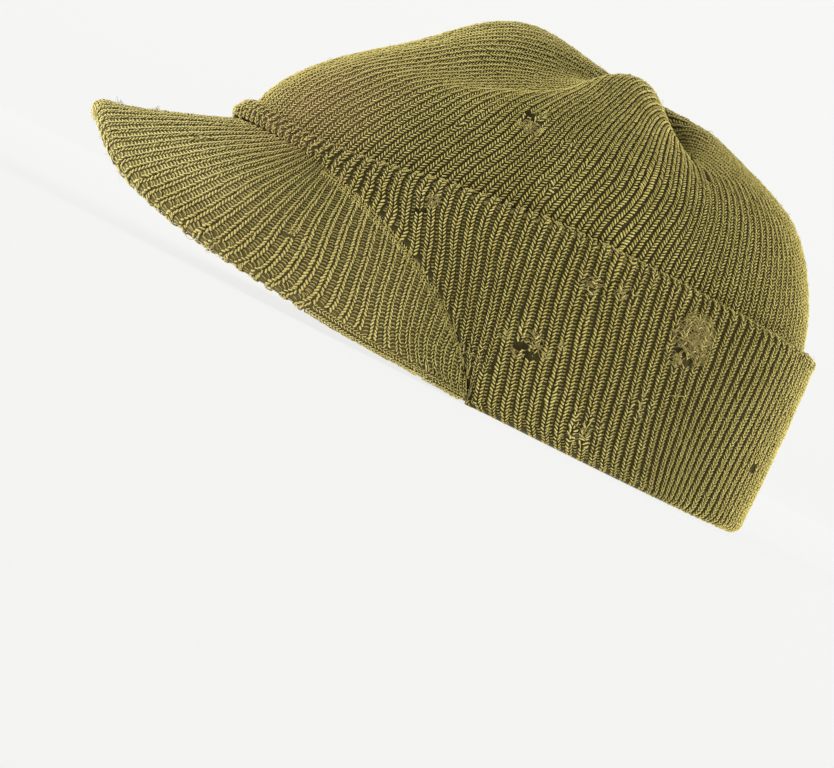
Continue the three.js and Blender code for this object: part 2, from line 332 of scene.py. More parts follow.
# How worn each point is: the strongest of several places, each of which fades from its middle with a
# power of the distance.
def wornAt(worn, points, power=2):
    amount = np.zeros(points.shape[:-1])
    for place in worn:
        away = np.linalg.norm(points - np.array(place["at"]), axis=-1) / place["reach"]
        amount = np.maximum(amount, place["amount"] * np.exp(-(away**power)))
    return amount


# The visor's upper face is paler towards its front: partly bleached wool, partly painted light on the face
# that is lit from above.
def bleachedAndPaintedLightAt(points):
    return smooth(92, 126, -points[..., 1]) * smooth(10, 26, points[..., 2])


# How far points are from the nearest hole, in its own half widths.
def fromHole(points):
    nearest = np.full(points.shape[:-1], 9.0)
    for hole in holes:
        start = np.array(hole["from"])
        along = np.array(hole["to"]) - start
        place = np.clip((points - start) @ along / (along @ along), 0, 1)
        away = np.linalg.norm(points - start - column(place) * along, axis=-1)
        nearest = np.minimum(nearest, away / hole["wide"])
    return nearest


# Slow waves over the cap, from -1 to 1, that fade and turn the yarn's colour.
def drift(points, scale, phase):
    p = points / scale
    return (
        np.sin(p[..., 0] * 1.3 + 0.7 * np.sin(p[..., 2] * 1.1 + phase) + phase)
        + np.sin(p[..., 1] * 1.1 + 0.9 * np.sin(p[..., 0] * 0.9 + 2 * phase) + 1.7 * phase)
        + np.sin(p[..., 2] * 1.7 + 0.8 * np.sin(p[..., 1] * 1.2 + 3 * phase))
    ) / 3


# Wool


wool = {
    "light": (0.86, 0.74, 0.24),
    "middle": (0.5, 0.41, 0.095),
    # paintedShade is the colour of painted shade, towards which strands' sides and ends, the backing and
    # holes are darkened.
    "paintedShade": (0.035, 0.026, 0.004),
    "stain": (0.72, 0.525, 0.21),
    "fade": (0.92, 0.81, 0.34),
    "fibreScale": 2600,
    "patchScale": 70,
    "fibreMottle": 0.28,
    "patchMottle": 0.15,
    "toneMottle": 0.3,
    "lightShare": 0.42,
    "fadeShare": 0.6,
    # How strongly the depth value paints shade, on stitches and on the backing.
    "paintedShadePower": 1.3,
    "paintedShadeShare": 0.85,
    "backingPaintedShadeShare": 0.95,
    "knitRelief": 0.8,
    "bump": 0.5,
    "bumpDepth": 0.00018,
}
woolSurface = {
    "Roughness": 0.95,
    "Specular IOR Level": 0.2,
    "Sheen Weight": 0.12,
    "Sheen Roughness": 0.6,
    "Sheen Tint": (0.85, 0.78, 0.45, 1),
}


class Nodes:
    def __init__(self, name):
        self.material = bpy.data.materials.new(name)
        self.material.use_nodes = True
        self.tree = self.material.node_tree
        self.shader = self.tree.nodes["Principled BSDF"]

    def add(self, kind, inputs=None, **settings):
        node = self.tree.nodes.new("ShaderNode" + kind)
        for key, value in settings.items():
            setattr(node, key, value)
        for key, value in (inputs or {}).items():
            self.put(value, node.inputs[key])
        return node

    def put(self, value, socket):
        if isinstance(value, bpy.types.NodeSocket):
            self.tree.links.new(value, socket)
        else:
            socket.default_value = value

    def math(self, operation, a, b=0.0, clamp=False):
        return self.add("Math", {0: a, 1: b}, operation=operation, use_clamp=clamp).outputs[0]

    def blend(self, share, a, b):
        node = self.add("Mix", data_type="RGBA")
        for value, socket in ((share, 0), (a, 6), (b, 7)):
            self.put(value, node.inputs[socket])
        return node.outputs[2]

    def range(self, value, low, high, newLow, newHigh):
        inputs = {"Value": value, "From Min": low, "From Max": high, "To Min": newLow, "To Max": newHigh}
        return self.add("MapRange", inputs).outputs[0]


def rgba(colour):
    return (*colour, 1)


# Knitted wool: fibres mottle each strand and patches fade it. The yarn's depth value blends it towards
# the painted shade colour, for the shade on strands' sides and ends and in the gaps between stitches.
# backing adds the courses of the knit as bump, on the map that counts ribs and courses, and more painted
# shade.
def woolMaterial(name, brightness=1.0, backing=False):
    n = Nodes(name)
    place = n.add("TexCoord").outputs["Object"]
    yarn = n.add("Attribute", attribute_name="yarn")
    parts = n.add("SeparateColor", {"Color": yarn.outputs["Color"]}).outputs
    tone, stain, depth = parts[0], parts[1], parts[2]
    fade = yarn.outputs["Alpha"]
    fibre = n.add("TexNoise", {"Vector": place, "Scale": wool["fibreScale"], "Detail": 3.0}).outputs[0]
    patch = n.add("TexNoise", {"Vector": place, "Scale": wool["patchScale"], "Detail": 4.0}).outputs[0]
    light, middle = ([brightness * c for c in wool[key]] for key in ("light", "middle"))
    fibreMottle = n.range(fibre, 0.3, 0.7, -wool["fibreMottle"], wool["fibreMottle"])
    patchMottle = n.range(patch, 0.3, 0.7, -wool["patchMottle"], wool["patchMottle"])
    mottle = n.math("ADD", fibreMottle, n.math("MULTIPLY", tone, wool["toneMottle"]))
    mottle = n.math("ADD", mottle, patchMottle)
    colour = n.blend(n.math("ADD", mottle, wool["lightShare"], clamp=True), rgba(middle), rgba(light))
    faded = n.math("MULTIPLY", fade, wool["fadeShare"], clamp=True)
    colour = n.blend(faded, colour, rgba(wool["fade"]))
    brown = n.math("MULTIPLY", stain, n.range(patch, 0.35, 0.65, 0.65, 1.0), clamp=True)
    colour = n.blend(brown, colour, rgba(wool["stain"]))
    # Painted shade, darkest on the backing.
    paintedShadeShare = wool["backingPaintedShadeShare" if backing else "paintedShadeShare"]
    shade = n.math("MULTIPLY", n.math("POWER", depth, wool["paintedShadePower"]), paintedShadeShare)
    n.put(n.blend(shade, colour, rgba(wool["paintedShade"])), n.shader.inputs["Base Color"])
    height = fibre
    if backing:
        knit = n.add("UVMap", uv_map="Knit").outputs[0]
        turned = n.add("SeparateXYZ", {"Vector": knit}).outputs
        height = n.math("MULTIPLY", fibre, wool["knitRelief"])
        for kind, at in (("SINE", turned[1]), ("COSINE", turned[0])):
            wave = n.math(kind, n.math("MULTIPLY", at, 2 * math.pi))
            height = n.math("ADD", height, n.math("MULTIPLY", wave, wool["knitRelief"]))
    bump = n.add("Bump", {"Height": height, "Strength": wool["bump"], "Distance": wool["bumpDepth"]})
    n.put(bump.outputs[0], n.shader.inputs["Normal"])
    for socket, value in woolSurface.items():
        n.put(value, n.shader.inputs[socket])
    return n.material


crownWool = woolMaterial("crownWool")
cuffWool = woolMaterial("cuffWool")
visorWool = woolMaterial("visorWool", 0.97)
# The backing is a much darker copy of the wool: painted shade for the gaps between stitches. The visor's is
# less dark.
shadedBackingWool = woolMaterial("shadedBackingWool", 0.14, backing=True)
shadedVisorBacking = woolMaterial("shadedVisorBacking", 0.4, backing=True)
print("wool mixed")


# Cuff and visor arch

cuffTop = {
    "angle": [0, 15, 30, 45, 60, 80, 110, 180],
    "height": [53.5, 52, 50.8, 52, 56, 60, 61.5, 61.5],
}
arch = {"height": 47, "angle": 79, "end": 4, "fall": 3, "fullness": 0.65}


def cuffTopHeight(angle):
    return fromTable(cuffTop, "height", fromFront(angle))


# Height of the visor's seam, which is also the cuff's lower edge at the front: an arch that falls with
# a power of the angle.
def seamHeight(angle):
    share = np.minimum(fromFront(angle) / arch["angle"], 1)
    return arch["height"] * (1 - share ** arch["fall"]) ** arch["fullness"]


def inArch(angle):
    return 1 - smooth(arch["angle"], arch["angle"] + arch["end"], fromFront(angle))


def cuffWall(angle):
    return mix(walls["cuffFront"], walls["cuff"], smooth(10, 62, fromFront(angle)))


# Rib lines. A surface is a function of the rib number and a share along the rib, and these are its ribs
# as dense lines with their outward normals, side directions and widths.
def ribLines(surface, rib, share, facing=1):
    points = surface(rib, share)
    step = 0.05
    beside = (surface(rib + step, share) - surface(rib - step, share)) / (2 * step)
    along = unit(np.gradient(points, axis=1))
    normal = facing * unit(np.cross(beside, along))
    across = np.cross(along, normal)
    width = np.abs((beside * across).sum(-1))
    return {"point": points, "along": along, "normal": normal, "across": across, "width": width}


# Outward normals of a surface for whole rows, one share at a time.
def normals(surface, rib, share, facing=1):
    beside = surface(rib + 0.05, share) - surface(rib - 0.05, share)
    rising = surface(rib, np.minimum(share + 0.004, 1)) - surface(rib, np.maximum(share - 0.004, 0))
    return facing * unit(np.cross(beside, rising))


# Stitch places along each rib line, one course apart by its own length, from the start or the end of
# the line, and none over a hole. Each has the values of ribLines, its rib and share, and how rubbed it is.
def stitchPlaces(lines, share, fromEnd=False):
    out = {key: [] for key in [*lines, "rib", "share"]}
    share = np.broadcast_to(share, lines["point"].shape[:2])
    for rib in range(len(lines["point"])):
        steps = np.linalg.norm(np.diff(lines["point"][rib], axis=0), axis=-1)
        length = np.concatenate([[0], np.cumsum(steps)])
        count = int(length[-1] / course)
        at = (np.arange(count) + 0.5) * course
        if fromEnd:
            at = length[-1] - at
        place = np.interp(at, length, np.arange(len(length)))
        low = np.minimum(place.astype(int), len(length) - 2)
        part = place - low
        for key, values in lines.items():
            rows = values[rib]
            weight = column(part) if rows.ndim == 2 else part
            out[key].append(mix(rows[low], rows[low + 1], weight))
        out["rib"].append(np.full(count, rib))
        out["share"].append(np.interp(at, length, share[rib]))
    out = {key: np.concatenate(value) for key, value in out.items()}
    for key in ("along", "normal", "across"):
        out[key] = unit(out[key])
    out["rubbed"] = wornAt(rubbed, out["point"], 4)
    return chosen(out, fromHole(out["point"]) > 1)


def chosen(places, keep):
    return {key: value[keep] for key, value in places.items()}


# How far stitches stray: rubbed is how much further they do in rubbed places.
stray = {
    "rubbed": 3,
    "reach": 0.1,
    "across": 0.025,
    "height": 0.08,
    "thick": 0.08,
    "barSag": 0.2,
    "barHeight": 0.04,
    "barThick": 0.1,
    "thinnest": 0.6,
    "thickest": 1.5,
}


# Random numbers for every stitch, larger where the knit is rubbed.
def straying(places, count):
    size = (len(places["width"]), count)
    return dice.normal(0, 1, size) * column(1 + stray["rubbed"] * places["rubbed"])


# A thickness near 1, within limits.
def uneven(spread, loose):
    return column(np.clip(1 + spread * loose, stray["thinnest"], stray["thickest"]))


# Paths laid on the knit at each stitch, from distances along its rib, across it and outwards.
def laidOn(places, lengthways, sideways, height):
    return (
        places["point"][:, None]
        + places["along"][:, None] * column(lengthways)
        + places["across"][:, None] * column(sideways)
        + places["normal"][:, None] * column(height)
    )


# The two legs of every stitch, which curve away from each other up the rib. A leg's stations are shares
# of its own length, and the rib's round back lowers whatever lies off its middle line.
def stitchLegs(places, look):
    width = column(places["width"])
    stations = np.array(look["stations"])
    hump = look["lift"] * np.sin(np.pi * np.clip(stations, 0.02, 0.98)) ** 0.7
    sets = []
    for side in (-1, 1):
        loose = straying(places, 5)
        reach = look["reach"] * (1 + stray["reach"] * loose[:, 0])
        foot = column(look["foot"] + stray["across"] * loose[:, 1])
        tip = column(look["tip"] + stray["across"] * loose[:, 2])
        sideways = side * width * mix(foot, tip, smooth(0, 1, stations))
        back = look["roundness"] * (2 * sideways / width) ** 2
        height = look["base"] + hump - back + stray["height"] * column(loose[:, 3])
        path = laidOn(places, (stations - 0.5) * column(reach * course), sideways, height)
        thick = uneven(stray["thick"], loose[:, 4])
        section = width * look["halfWidth"] * thick, look["crest"] * thick
        sets.append(strands(path, places["normal"], *section, tintOf(places, look)))
    return sets


# Tone, stain, fade and painted shade of each stitch. Tone is lowered in the patches of painted shade, fade
# is raised by bleaching, rubbing and painted light on the visor's upper face, and shade paints the crest
# darker, less there.
def tintOf(places, look, shade=0.0):
    points = places["point"]
    tone = np.clip(0.5 * dice.normal(0, 1, len(points)) + 0.5 * drift(points, 23, 1.0), -1, 1)
    tone = tone - wornAt(shadedPatches, points)
    fade = 0.15 + 0.35 * drift(points, 31, 2.3) + look["fade"] + 0.5 * places["rubbed"] + bleachedAndPaintedLightAt(points)
    return np.stack([tone, wornAt(stains, points), np.clip(fade, 0, 1), shade * (1 - bleachedAndPaintedLightAt(points))], -1)


# The purl bars in the furrow beside each rib, sagging arcs from one rib's side to the next.
def purlBars(places, look):
    width = column(places["width"])
    stations = np.linspace(-1, 1, look["barStations"])
    loose = straying(places, 3)
    sag = look["barSag"] * course * (1 - stations**2)
    lengthways = 0.5 * course - sag * (1 + stray["barSag"] * column(loose[:, 0]))
    arc = look["barLift"] * (1 - np.abs(stations) ** 2.5)
    height = look["barBase"] + arc + stray["barHeight"] * column(loose[:, 1])
    path = laidOn(places, lengthways, width * (0.5 + look["barReach"] * stations), height)
    thick = uneven(stray["barThick"], loose[:, 2])
    # The bars' crests carry painted shade, as they lie deep in the furrow.
    tint = tintOf(places, look, look["barShade"])
    halfWidth = look["barHalfWidth"] * course * thick
    return strands(path, places["normal"], halfWidth, look["barCrest"] * thick, tint)


# How deep in a furrow each column of a skin is, from 0 on a rib to 1 midway between two.
def furrowAt(rib, start, end):
    return smooth(start, end, np.abs(2 * (rib - np.round(rib))))


# Small sideways wander of the ribs, from waves over the rib number and share.
def wander(rib, share):
    return (
        0.28 * np.sin(0.31 * rib + 9 * share)
        + 0.22 * np.sin(0.13 * rib - 17 * share + 1.3)
        + 0.12 * np.sin(1.1 * rib + 31 * share + 0.4)
    )


# Crown

crown = {
    "height": 115.5,
    "poleSink": 2,
    "poleBack": 21,
    "top": 0.993,
    "lobeReach": 80,
    "skinTop": 0.985,
    "skinDepth": 0.6,
    "lowestFoot": 3.3,
    "courses": 110,
}
crownShoulder = {
    "angle": [0, 60, 110, 180],
    "exponent": [1.7, 1.95, 2.1, 2.02],
    "pinch": [0, 0, 1, 2.4],
}
darts = table(
    "rib angle bend depth flank width start full",
    (19.5, 30, 24, 12, 45, 13, 0.3, 0.65),
    (42.5, 101, 0, 12, 0, 12, 0.3, 0.82),
    (71.5, 172, 0, 8, 0, 14, 0.4, 0.82),
    (97.5, 240, 0, 9, 0, 13, 0.35, 0.82),
    (127.5, 308, 0, 8, 0, 13, 0.4, 0.82),
)
lobes = table(
    "angle swell width middle above below",
    (-11, 10.5, 26, 0.695, 0.12, 0.155),
    (58, 10, 24, 0.74, 0.22, 0.22),
    (136, -1.8, 24, 0.68, 0.14, 0.22),
    (206, 2, 22, 0.7, 0.22, 0.22),
    (274, 3, 22, 0.72, 0.22, 0.22),
)
ribMiddles = np.array([-1, 72, 136, 206, 274])
keptPitch = np.array([0.68, 0.56, 0.7, 0.7, 0.7])


# The angle of a dart's valley: it bends back as it climbs.
def dartLine(dart, share):
    return dart["angle"] + dart["bend"] * smooth(0.2, 0.6, share)


# Height of the crown's folds off its round form: darts are valleys that fall off with the distance
# from their line, the first with a long slope on its front side, and lobes are round swellings.
def crownFolds(angle, share):
    fold = np.zeros(np.broadcast(angle, share).shape)
    calm = 1 - smooth(0.86, 1, share)
    for dart in darts:
        away = wrapped(angle - dartLine(dart, share))
        valley = np.exp(-np.abs(away) / dart["width"])
        if dart["flank"]:
            valley = np.where(away < 0, smooth(-dart["flank"], 0, away), valley)
        fold = fold - dart["depth"] * valley * smooth(dart["start"], dart["full"], share) * calm
    for lobe in lobes:
        away = wrapped(angle - lobe["angle"]) / lobe["width"]
        along = share - lobe["middle"]
        along = along / np.where(along > 0, lobe["above"], lobe["below"])
        fold = fold + lobe["swell"] * np.exp(-away * away - along * along) * calm
    return fold


# The crown above the cuff: a quarter of a superellipse from the cuff's edge, share 0, to the pole,
# share 1, with its folds standing off it.
def crownPoint(angle, share, inset=0.0):
    around = fromFront(angle)
    exponent = fromTable(crownShoulder, "exponent", around)
    turn = share * np.pi / 2
    reach = np.clip(np.cos(turn), 0, 1) ** (2 / exponent)
    rise = np.clip(np.sin(turn), 0, 1) ** (2 / exponent)
    spring = cuffTopHeight(angle) - 3.2
    foot = capPoint(angle, walls["knit"] - inset, 0)
    outwards = unit(foot - np.array([0, crown["poleBack"], 0]))
    pinch = fromTable(crownShoulder, "pinch", around) * np.sin(np.pi * np.minimum(share / 0.5, 1))
    stand = crownFolds(angle, share) - pinch
    top = crown["height"] - inset - crown["poleSink"] * smooth(0.8, 1, share)
    x = foot[..., 0] * reach
    y = crown["poleBack"] + (foot[..., 1] - crown["poleBack"]) * reach
    z = spring + (top - spring) * rise + stand * np.sin(turn)
    flat = np.stack(np.broadcast_arrays(x, y, z), -1)
    return flat + outwards * column(stand * np.cos(turn))


# The ribs lean back a little from the cuff upwards, and less again near the top.
def ribLean(foot, share):
    around = np.abs(foot)
    lean = 4 * smooth(0, 25, around) - 2 * smooth(60, 75, around) - 2 * smooth(95, 115, around)
    return np.sign(foot) * lean * (smooth(0, 0.3, share) - 0.5 * smooth(0.45, 0.75, share))


# The ribs of neighbouring lobes end at the dart between them, on a line that leans with them.
def dartLineOfRibs(dart, share):
    foot = wrapped(ribAngle(dart["rib"]))
    return foot + ribLean(foot, share)


# Which lobe a point is in, counted from the front one, which starts at the last dart.
def lobeOf(angle, share):
    angle, share = np.broadcast_arrays(angle, share)
    start = dartLineOfRibs(darts[-1], share)
    lobe = np.zeros(angle.shape, int)
    for dart in darts[:-1]:
        lobe += (angle - start) % 360 > (dartLineOfRibs(dart, share) - start) % 360
    return lobe


# How much the ribs of a lobe spread in angle as the crown closes, so that they keep a share of their
# pitch at the cuff and end at the darts.
def ribSpread(share, kept):
    closing = kept / np.maximum(np.cos(share * np.pi / 2), 0.02)
    return (1 + closing**12) ** (1 / 12)


ribs = np.arange(ribCount)[:, None]
ribLobe = lobeOf(ribAngle(ribs), 0)


def crownRibAngle(rib, share, lobe):
    middle = ribMiddles[lobe]
    rib = rib + 0.25 * wander(rib, share) * smooth(0, 0.05, share)
    foot = wrapped(ribAngle(rib) - middle)
    spread = ribSpread(share, keptPitch[lobe])
    return middle + foot * spread + ribLean(wrapped(foot + middle), share)


share = np.linspace(0, crown["top"], 300)[None]
lines = ribLines(lambda rib, share: crownPoint(crownRibAngle(rib, share, ribLobe), share), ribs, share)
lines["angle"] = crownRibAngle(ribs, share, ribLobe)
crownPlaces = stitchPlaces(lines, share)
crownPlaces["lobe"] = ribLobe[crownPlaces["rib"], 0]
inOwnLobe = lobeOf(crownPlaces["angle"], crownPlaces["share"]) == crownPlaces["lobe"]
notRound = np.abs(crownPlaces["angle"] - ribMiddles[crownPlaces["lobe"]]) < crown["lobeReach"]
crownPlaces = chosen(crownPlaces, inOwnLobe & notRound)

crownStitch = {
    "stations": [0, 0.3, 0.72, 1],
    "reach": 1.5,
    "foot": 0.04,
    "tip": 0.41,
    "halfWidth": 0.08,
    "crest": 0.32,
    "base": -0.4,
    "lift": 0.5,
    "roundness": 0.12,
    "fade": 0.0,
}
lobeNames = ["Front", "Left", "BackLeft", "Back", "Right"]
pieces = []
for lobe, lobeName in enumerate(lobeNames):
    places = chosen(crownPlaces, crownPlaces["lobe"] == lobe)
    piece = strandPiece("crownStitches" + lobeName, stitchLegs(places, crownStitch), crownWool)
    pieces.append((piece, "crown_knit"))


# The knit behind the stitches: the ribbed outer face down to inside the cuff, the rim, and the inner
# face up to the pole.
def crownSkin():
    rib = np.arange(3 * ribCount) / 3
    angle = ribAngle(rib)
    rows = []
    for share in np.linspace(crown["skinTop"], 0, 46):
        normal = normals(lambda rib, share: crownPoint(ribAngle(rib), share), rib, share)
        rows.append((crownPoint(angle, share) - crown["skinDepth"] * normal, share * crown["courses"]))
    foot = np.maximum(crown["lowestFoot"], seamHeight(angle) - 6)
    for offset, height in ((2.9, foot + 0.8), (2.6, foot), (0.2, foot), (-0.1, foot + 0.8)):
        rows.append((capPoint(angle, offset, height), -8))
    for share in np.linspace(0, crown["skinTop"], 26):
        rows.append((crownPoint(angle, share, walls["knit"] - 0.1), share * crown["courses"]))
    top = crown["height"] - crown["poleSink"]
    poles = np.array([[0, crown["poleBack"], top - 0.4], [0, crown["poleBack"], top - 2.9]])
    return skinPiece("crownKnit", rib, rows, shadedBackingWool, poles=poles)


crownKnit = crownSkin()
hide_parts("crown")
pieces.append((crownKnit, "crown_knit"))
print("crown knitted")


# Cuff

cuff = {
    "footRound": 3.0,
    "footDepth": 2.6,
    "crestRound": 2.8,
    "archFootRound": 2.0,
    "archCrestRound": 1.9,
    "belly": 0.5,
    "skinDepth": 0.45,
    "furrowDepth": 0.75,
    "courses": 58,
}


# The cuff's outer side as one line from under the rim, 0, to inside its top edge, 1: a quarter round,
# a long side with a slight belly, and a half round over the top.
def cuffSide(angle, share):
    arched = inArch(angle)
    inner = walls["knit"] + walls["gap"]
    foot = inner + cuffWall(angle)
    headOffset = foot - walls["lean"] * (1 - 0.6 * arched)
    bottom, top = seamHeight(angle) + 0.55 * (1 - arched), cuffTopHeight(angle)
    mostRound = 0.45 * (top - bottom)
    footRound = np.minimum(mix(cuff["footRound"], cuff["archFootRound"], arched), mostRound)
    crestRound = np.minimum(mix(cuff["crestRound"], cuff["archCrestRound"], arched), mostRound)
    halfWall = (headOffset - inner) / 2
    turn = np.radians(-90 * (1 - np.clip(share / 0.12, 0, 1)))
    offset = foot - cuff["footDepth"] * (1 - 0.5 * arched) * (1 - np.cos(turn))
    height = bottom + footRound * (1 + np.sin(turn))
    up = np.clip((share - 0.12) / 0.68, 0, 1)
    offset = offset + (headOffset - foot) * up + cuff["belly"] * np.sin(np.pi * up)
    height = height + (top - crestRound - bottom - footRound) * up
    over = np.radians(180 * np.clip((share - 0.8) / 0.2, 0, 1))
    offset = offset - halfWall * (1 - np.cos(over))
    height = height + crestRound * np.sin(over)
    return capPoint(angle, offset, height)


# On its left side the cuff's ribs lean towards its lower edge.
def cuffRib(rib, share):
    angle = ribAngle(rib + 0.25 * wander(rib, share * 0.6))
    side = smooth(40, 72, wrapped(angle)) * (1 - smooth(104, 126, wrapped(angle)))
    side = side - 0.6 * smooth(60, 90, -wrapped(angle)) * (1 - smooth(110, 150, -wrapped(angle)))
    return cuffSide(angle + 7.5 * side * (1 - np.minimum(share / 0.85, 1)) ** 1.6, share)


share = np.linspace(0, 0.99, 220)[None]
lines = ribLines(cuffRib, ribs, share)
lines["angle"] = ribAngle(ribs) + 0 * share
cuffPlaces = stitchPlaces(lines, share, fromEnd=True)
atTop = smooth(0.77, 0.84, cuffPlaces["share"]) * (1 - smooth(0.9, 0.97, cuffPlaces["share"]))
atTop = atTop * smooth(50, 75, fromFront(cuffPlaces["angle"]))
cuffPlaces["rubbed"] = np.maximum(cuffPlaces["rubbed"], edgeRub * atTop)

cuffStitch = {
    **crownStitch,
    "reach": 1.45,
    "tip": 0.31,
    "halfWidth": 0.068,
    "crest": 0.35,
    "base": -0.3,
    "lift": 0.55,
    "roundness": 0.25,
    "barStations": 5,
    "barReach": 0.2,
    "barSag": 0.3,
    "barBase": -1.2,
    "barLift": 0.2,
    "barHalfWidth": 0.28,
    "barCrest": 0.26,
    "barShade": 0.45,
}
onLeft = wrapped(cuffPlaces["angle"]) > 0
for sideName, keep in (("Left", onLeft), ("Right", ~onLeft)):
    places = chosen(cuffPlaces, keep)
    sets = [*stitchLegs(places, cuffStitch), purlBars(places, cuffStitch)]
    pieces.append((strandPiece("cuffStitches" + sideName, sets, cuffWool), "cuff_knit"))


def cuffSkin():
    rib = np.arange(4 * ribCount) / 4
    angle = ribAngle(rib)
    furrow = furrowAt(rib, 0.5, 0.9)
    arched = inArch(angle)
    inner = walls["knit"] + walls["gap"]
    bottom, top = seamHeight(angle), cuffTopHeight(angle)
    shares = [np.linspace(0, 0.12, 6), np.linspace(0.16, 0.8, 14), np.linspace(0.84, 1, 7)]
    rows = []
    for share in np.concatenate(shares):
        depth = (cuff["skinDepth"] + cuff["furrowDepth"] * furrow) * smooth(-0.02, 0.12, share)
        row = cuffRib(rib, share) - normals(cuffRib, rib, share) * column(depth)
        rows.append((row, share * cuff["courses"]))
    close = [
        (inner + 0.1, top - 4),
        (inner + 0.1, bottom + 2.9),
        (mix(0.2, inner + 0.2, arched), bottom + mix(2.8, 1.6, arched)),
        (mix(0.2, inner + 0.5, arched), bottom + mix(1.5, 0.8, arched)),
        (mix(1.6, inner + 1, arched), bottom + 0.05),
    ]
    rows += [(capPoint(angle, offset, height), height / course) for offset, height in close]
    return skinPiece("cuffKnit", rib, rows, shadedBackingWool)


cuffKnit = cuffSkin()
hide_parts("cuff")
pieces.append((cuffKnit, "cuff_knit"))
print("cuff knitted")


# Visor

visor = {
    "endAngle": 77.4,
    "ribCount": 72,
    "thickness": 6,
    "edgeRadius": 3.1,
    "lowestInnerEdge": 1.8,
    "bulge": 3.4,
    "skinDepth": 0.45,
    "furrowDepth": 0.55,
    "courses": 110,
    "edgeStart": 0.44,
    "hemAngle": 65,
    "hemWidth": 0.067,
}
visorEdge = {
    "angle": [-77.4, -73, -67, -58, -48, -36, -24, -12, 0, 12, 24, 36, 48, 58, 67, 73, 77.4],
    "sideways": [-85, -83, -80, -73.5, -63, -49, -34, -18, 0, 18, 34, 49, 63, 73.5, 80, 83, 85],
    "forward": [23.5, 46, 68, 89, 107.5, 123, 133.5, 139, 140.5, 139, 133.5, 123, 107.5, 89, 68, 46, 23.5],
    "height": [3, 8, 10.5, 13, 17, 22, 27, 29.3, 28.3, 23.5, 17.5, 13, 9.5, 7.3, 5, 3.5, 2.3],
}


def edgePoint(angle):
    parts = [fromTable(visorEdge, name, angle) for name in ("sideways", "forward", "height")]
    return np.stack([parts[0], -parts[1], parts[2]], -1)


# The visor as one line from its seam, 0, over its upper face and round its edge to the lower seam, 1.
# Both faces are straight lines from seam to edge with a bulge, and the edge is a half round.
def visorSide(angle, share):
    angle, share = np.broadcast_arrays(angle, share)
    around = np.abs(angle)
    seam = seamHeight(angle) + 0.4 - 1.5 * smooth(60, visor["endAngle"], around)
    seam = seam - 1.2 * (1 - smooth(14, 30, around))
    inner = walls["knit"] + walls["gap"]
    top = capPoint(angle, inner + cuffWall(angle) - 1.9, seam)
    lowest = np.maximum(seam - visor["thickness"] - 0.4, visor["lowestInnerEdge"])
    bottom = capPoint(angle, inner, lowest)
    edge = edgePoint(angle)
    normal = unit(np.cross(edge - top, edgePoint(angle + 0.5) - edgePoint(angle - 0.5)))
    outwards = unit(edge - top)
    radius = visor["edgeRadius"] * (1 - 0.5 * smooth(68, visor["endAngle"], around))
    bulge = visor["bulge"] * (1 - 0.8 * smooth(55, visor["endAngle"], around))
    bulge = bulge * mix(0.25, 1, smooth(12, 45, around)) * (1 - 0.5 * smooth(5, 30, -angle))
    bulge = bulge - 2.6 * smooth(-8, 12, -angle) * (1 - smooth(40, 60, -angle))
    start = visor["edgeStart"]
    over = np.clip(share / start, 0, 1)
    under = np.clip((1 - share) / start, 0, 1)
    turn = np.radians(90 - 180 * np.clip((share - start) / (1 - 2 * start), 0, 1))
    upper = mix(top, edge + normal * column(radius), column(over))
    upper = upper + normal * column(bulge * np.sin(np.pi * over**1.25))
    lower = mix(bottom, edge - normal * column(radius), column(under))
    lower = lower + normal * column(0.8 * bulge * np.sin(np.pi * under**1.25))
    rounded = edge + column(radius) * (normal * column(np.sin(turn)) + outwards * column(np.cos(turn)))
    face = np.where(column(share < start), upper, rounded)
    return np.where(column(share > 1 - start), lower, face)


# The ribs fan out: one that starts at a seam angle reaches the edge further back. They are spaced
# evenly along the edge, or along the seam where that is longer.
visorFan = {
    "angle": [0, 12, 24, 35.5, 44, 50, 56, 61, 66.5, 71, 74, 77.4],
    "seam": [0, 11, 21.5, 28, 31.5, 34.5, 38, 42.5, 49.5, 57, 64.5, 77.4],
}


def visorSeam(edge):
    return np.sign(edge) * fromTable(visorFan, "seam", np.abs(edge))


edgeAngles = np.linspace(-visor["endAngle"], visor["endAngle"], 800)
edgeSteps = np.linalg.norm(np.diff(edgePoint(edgeAngles), axis=0), axis=-1)
seamSteps = np.linalg.norm(np.diff(visorSide(visorSeam(edgeAngles), 0), axis=0), axis=-1)
ribSteps = np.maximum(edgeSteps, 1.15 * seamSteps)
edgeShare = np.concatenate([[0], np.cumsum(ribSteps)]) / ribSteps.sum()
print("visor ribs over", ribSteps.sum(), "mm")


def visorRib(rib, share):
    rib = rib + 0.2 * wander(rib, share)
    edge = np.interp(rib / visor["ribCount"], edgeShare, edgeAngles)
    over = np.clip(np.minimum(share, 1 - share) / visor["edgeStart"], 0, 1)
    return visorSide(mix(visorSeam(edge), edge, over + 0.6 * over * (1 - over)), share)


visorRibs = np.arange(0.5, visor["ribCount"])[:, None]
shares = [np.linspace(0, 0.44, 90), np.linspace(0.445, 0.555, 40), np.linspace(0.56, 0.66, 20)]
share = np.concatenate(shares)
lines = ribLines(visorRib, visorRibs, share[None], facing=-1)
lines["angle"] = np.interp(visorRibs / visor["ribCount"], edgeShare, edgeAngles) + 0 * share[None]
visorPlaces = stitchPlaces(lines, share)
fromEdge = np.abs(visorPlaces["share"] - 0.5)
onHem = (np.abs(visorPlaces["angle"]) > visor["hemAngle"]) & (fromEdge < visor["hemWidth"])
visorPlaces = chosen(visorPlaces, ~onHem)
atEdge = 1 - smooth(0.02, 0.07, np.abs(visorPlaces["share"] - 0.5))
visorPlaces["rubbed"] = np.maximum(visorPlaces["rubbed"], edgeRub * atEdge)

